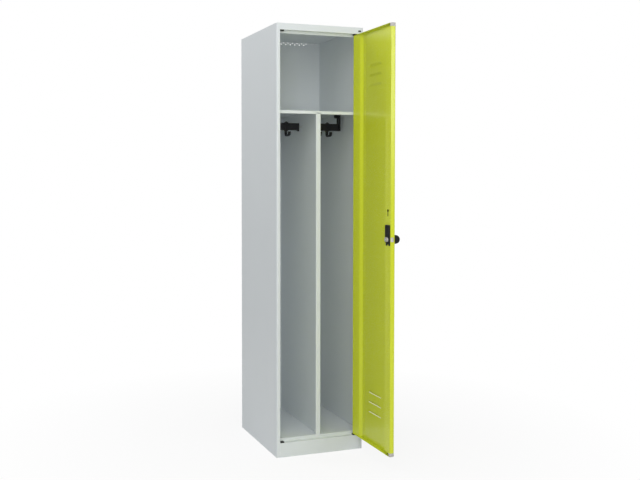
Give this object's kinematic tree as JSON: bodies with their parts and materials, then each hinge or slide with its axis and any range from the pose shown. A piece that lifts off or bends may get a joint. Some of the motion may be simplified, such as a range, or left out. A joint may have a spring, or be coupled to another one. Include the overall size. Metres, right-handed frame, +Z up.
{
  "type": "school locker",
  "caption": "Tall sheet-steel clothes locker on a plinth, with hat shelf, centre divider, coat rails with sliding hooks, and a hinged door with a twist-knob bolt lock.",
  "frame": {"origin": "on the floor at the centre of the cabinet's footprint", "axes": "+X to the right seen from the front, +Y to the back, +Z up; the door side faces -Y"},
  "size_m": [0.4103, 0.8475, 1.85],
  "materials": {
    "grey_paint": "fine-textured powder coat, light grey",
    "green_paint": "smooth powder coat, lime green",
    "black_plastic": "moulded, lightly textured",
    "grey_plastic": "moulded, satin",
    "bare_steel": "zinc plated",
    "dark_steel": "black oxide"
  },
  "bodies": {
    "carcass": {"left_side_panel": "grey_paint", "right_side_panel": "grey_paint", "back_panel": "grey_paint", "top_panel": "grey_paint", "header_plug": "black_plastic", "plinth_front": "grey_paint", "base_frame": "grey_paint", "floor_panel": "grey_paint", "hat_shelf": "grey_paint", "centre_divider": "grey_paint", "hinge_bush_top": "black_plastic", "hinge_bush_bottom": "black_plastic", "corner_buffer_top": "black_plastic", "corner_buffer_bottom": "black_plastic", "hinge_pin_top": "bare_steel", "hinge_pin_bottom": "bare_steel", "coat_rail_left": "black_plastic", "coat_rail_right": "black_plastic", "rail_tie_pin": "bare_steel", "rail_rivets": "bare_steel"},
    "door": {"door_panel": "green_paint", "lock_stile": "green_paint", "hinge_stile": "green_paint", "door_cap_free_top": "grey_plastic", "door_cap_free_bottom": "grey_plastic", "door_cap_hinge_top": "grey_plastic", "door_cap_hinge_bottom": "grey_plastic", "lock_housing": "black_plastic", "lock_screws": "dark_steel", "lock_rosette": "black_plastic"},
    "knob": {"lock_knob": "black_plastic", "lock_spindle": "bare_steel", "drive_cam": "bare_steel", "follower_plate": "bare_steel", "spindle_nut": "bare_steel"},
    "bolt": {"lock_bolt": "bare_steel"},
    "hook_left_outer": {"coat_hook_left_outer": "black_plastic"},
    "hook_left_inner": {"coat_hook_left_inner": "black_plastic"},
    "hook_right_inner": {"coat_hook_right_inner": "black_plastic"},
    "hook_right_outer": {"coat_hook_right_outer": "black_plastic"}
  },
  "joints": [
    {"name": "door_hinge", "type": "hinge", "parent": "carcass", "child": "door", "pos_m": [0.1735, -0.2425, 0.949], "axis": [0, 0, 1], "range_deg": [-90, 15]},
    {"name": "knob_turn", "type": "hinge", "parent": "door", "child": "knob", "pos_m": [0.181, -0.577, 0.949], "axis": [1, 0, 0], "range_deg": [0, 90]},
    {"name": "bolt_slide", "type": "slide", "parent": "door", "child": "bolt", "axis": [0, -1, 0], "range_m": [0, 0.009]},
    {"name": "hook_left_outer_slide", "type": "slide", "parent": "carcass", "child": "hook_left_outer", "axis": [1, 0, 0], "range_m": [-0.044, 0.015]},
    {"name": "hook_left_inner_slide", "type": "slide", "parent": "carcass", "child": "hook_left_inner", "axis": [1, 0, 0], "range_m": [-0.015, 0.042]},
    {"name": "hook_right_inner_slide", "type": "slide", "parent": "carcass", "child": "hook_right_inner", "axis": [1, 0, 0], "range_m": [-0.042, 0.015]},
    {"name": "hook_right_outer_slide", "type": "slide", "parent": "carcass", "child": "hook_right_outer", "axis": [1, 0, 0], "range_m": [-0.015, 0.044]}
  ],
  "couplings": [
    {"joint": "bolt_slide", "follows": "knob_turn", "m_per_rad": 0.0057295}
  ]
}
